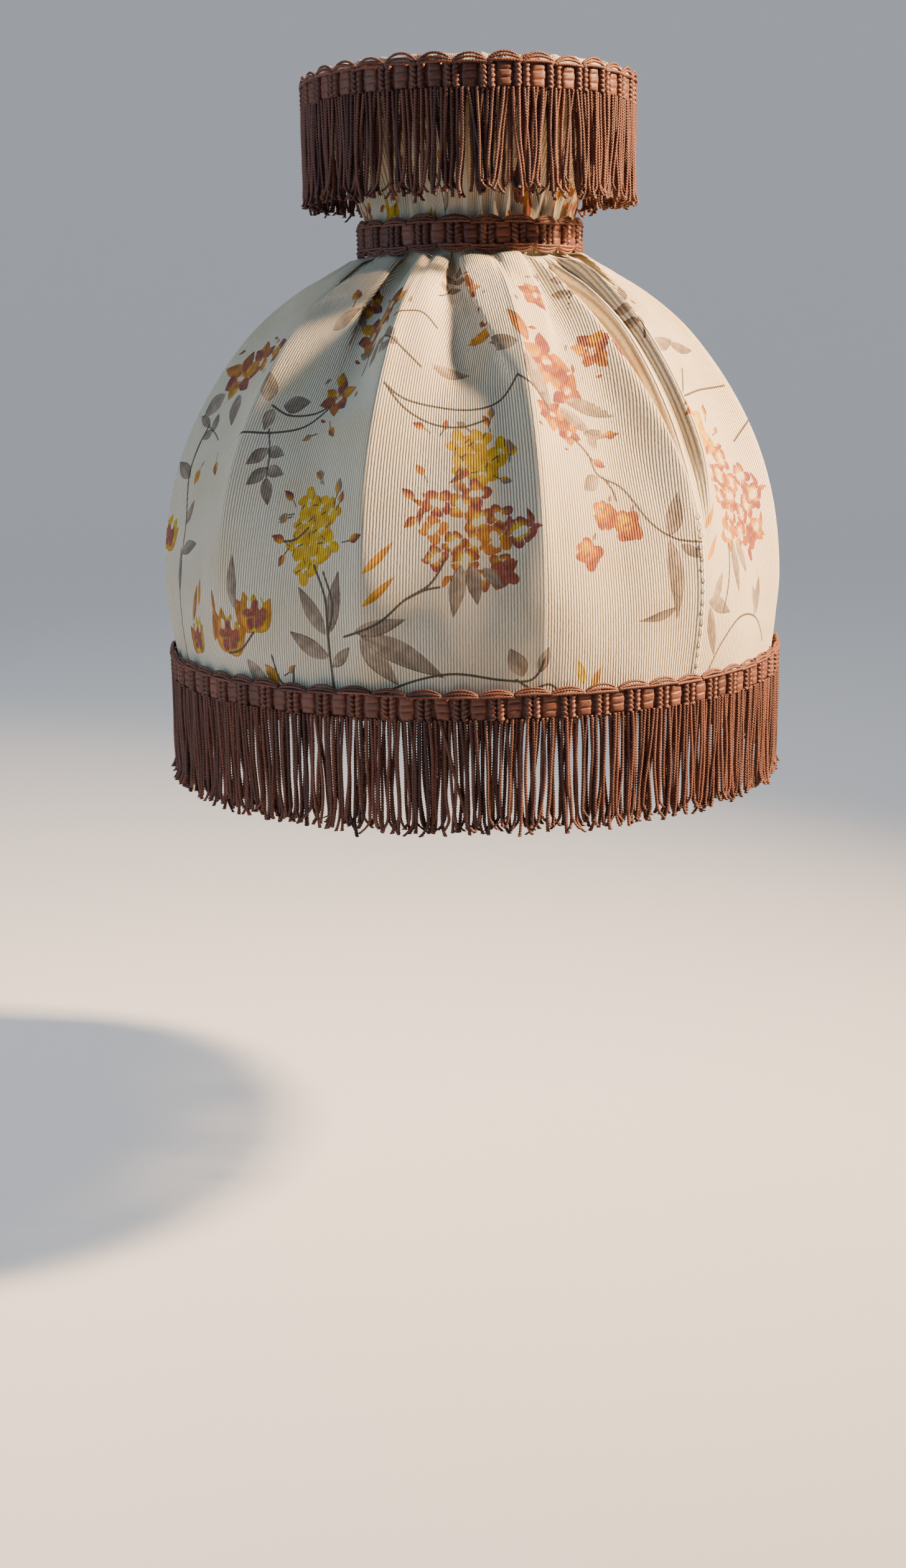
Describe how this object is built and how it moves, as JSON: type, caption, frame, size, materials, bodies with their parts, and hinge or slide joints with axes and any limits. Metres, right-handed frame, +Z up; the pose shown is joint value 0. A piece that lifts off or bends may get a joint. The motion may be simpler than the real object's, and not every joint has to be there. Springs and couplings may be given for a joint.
{
  "type": "lamp shade",
  "caption": "Ribbed dome lamp shade with a flared collar, fabric cover, fringe and braid trim, and a fitter ring for a lamp holder.",
  "frame": {"origin": "centre of the fitter ring's underside, where the shade sits on the lamp holder", "axes": "+Z up along the shade's axis towards the collar, -Y towards the front"},
  "size_m": [0.2194, 0.2193, 0.2392],
  "materials": {
    "frame_wire": "satin white lacquer",
    "fitter_metal": "satin white lacquer",
    "cover_cloth": "printed linen weave",
    "trim_braid": "woven rayon braid with a soft sheen",
    "trim_fringe": "twisted rayon cords"
  },
  "bodies": {
    "root": {"bottom_ring": "frame_wire", "neck_ring": "frame_wire", "top_ring": "frame_wire", "rib_01": "frame_wire", "rib_02": "frame_wire", "rib_03": "frame_wire", "rib_04": "frame_wire", "rib_05": "frame_wire", "rib_06": "frame_wire", "rib_07": "frame_wire", "rib_08": "frame_wire", "rib_09": "frame_wire", "rib_10": "frame_wire", "rib_11": "frame_wire", "rib_12": "frame_wire", "fitter_ring": "fitter_metal", "fitter_arm_1": "frame_wire", "fitter_arm_2": "frame_wire", "fitter_arm_3": "frame_wire", "dome_cover": "cover_cloth", "collar_cover": "cover_cloth", "bottom_braid": "trim_braid", "neck_braid": "trim_braid", "top_braid": "trim_braid", "bottom_fringe": "trim_fringe", "top_fringe": "trim_fringe"}
  },
  "joints": []
}
